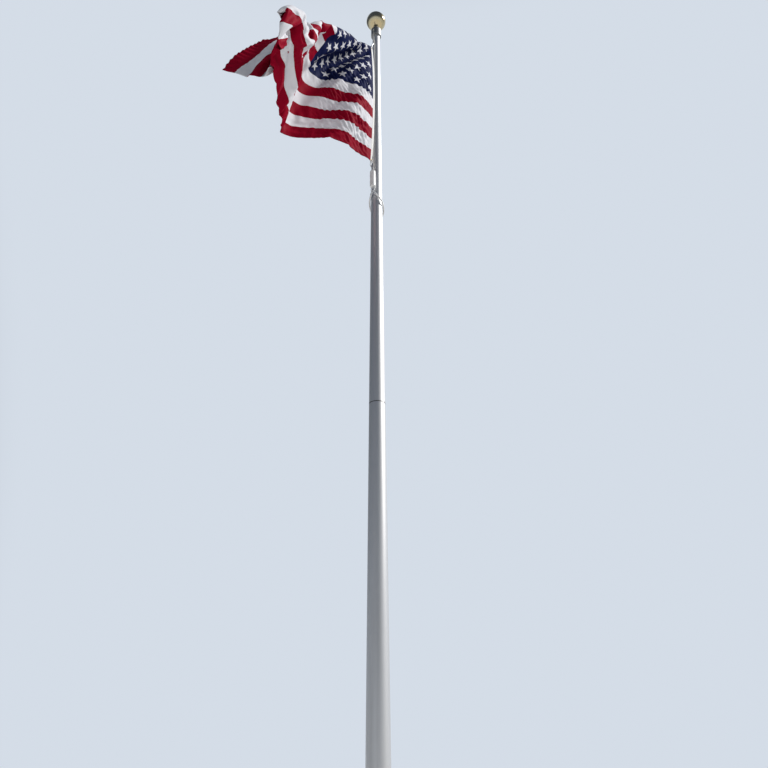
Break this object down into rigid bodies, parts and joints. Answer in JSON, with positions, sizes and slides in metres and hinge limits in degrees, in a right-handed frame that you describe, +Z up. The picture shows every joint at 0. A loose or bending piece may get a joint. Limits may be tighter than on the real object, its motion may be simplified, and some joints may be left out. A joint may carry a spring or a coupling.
{
  "type": "flagpole",
  "caption": "Tapered aluminium flagpole with an internal halyard, revolving truck, gold ball finial, counterweight, retainer sling and a flying flag.",
  "frame": {"origin": "centre of the pole at ground level, on the butt's sawn foot", "axes": "+Z up the pole, -Y to the side the picture was taken from, +X to the right of that view"},
  "size_m": [2.1099, 2.9671, 12.7219],
  "materials": {
    "satin_aluminium": "satin ground tube",
    "mill_aluminium": "mill finish",
    "spun_aluminium": "spun sheet with fine rings",
    "cast_aluminium": "cast, machined where it turns",
    "stainless_steel": "brushed",
    "chrome_lock": "plated",
    "galvanised_steel": "galvanised, dulled by weather",
    "rolled_brass": "rolled brass",
    "gold_anodised": "gold anodised spun shell",
    "black_rubber": "matt",
    "nylon_sheave": "turned nylon",
    "white_rope": "braided polyester rope",
    "white_canvas": "woven heading tape",
    "flag_cloth": "sewn nylon in red, white and blue",
    "white_vinyl": "dipped vinyl cover"
  },
  "bodies": {
    "root": {"butt_section": "satin_aluminium", "upper_section": "satin_aluminium", "splice_sleeve": "mill_aluminium", "flash_collar": "spun_aluminium", "collar_seal": "black_rubber", "door_frame": "cast_aluminium", "access_door": "satin_aluminium", "door_screws": "stainless_steel", "door_lock": "chrome_lock", "truck_spindle": "cast_aluminium"},
    "truck": {"truck_body": "cast_aluminium", "truck_cap": "cast_aluminium", "sheave": "nylon_sheave", "sheave_pin": "stainless_steel", "ball_stem": "stainless_steel", "stem_nut": "stainless_steel", "ball_finial": "gold_anodised", "halyard": "white_rope", "halyard_knot": "white_rope", "halyard_tail": "white_rope", "top_snap": "stainless_steel", "bottom_snap": "stainless_steel", "flag_header": "white_canvas", "header_grommets": "rolled_brass", "flag": "flag_cloth", "counterweight": "white_vinyl", "weight_eyes": "galvanised_steel", "sling_link": "galvanised_steel", "sling_eyes": "galvanised_steel", "retainer_sling": "white_vinyl"}
  },
  "joints": [
    {"name": "truck_swivel", "type": "hinge", "parent": "root", "child": "truck", "pos_m": [0, 0, 12.232], "axis": [0, 0, 1], "continuous": true}
  ]
}
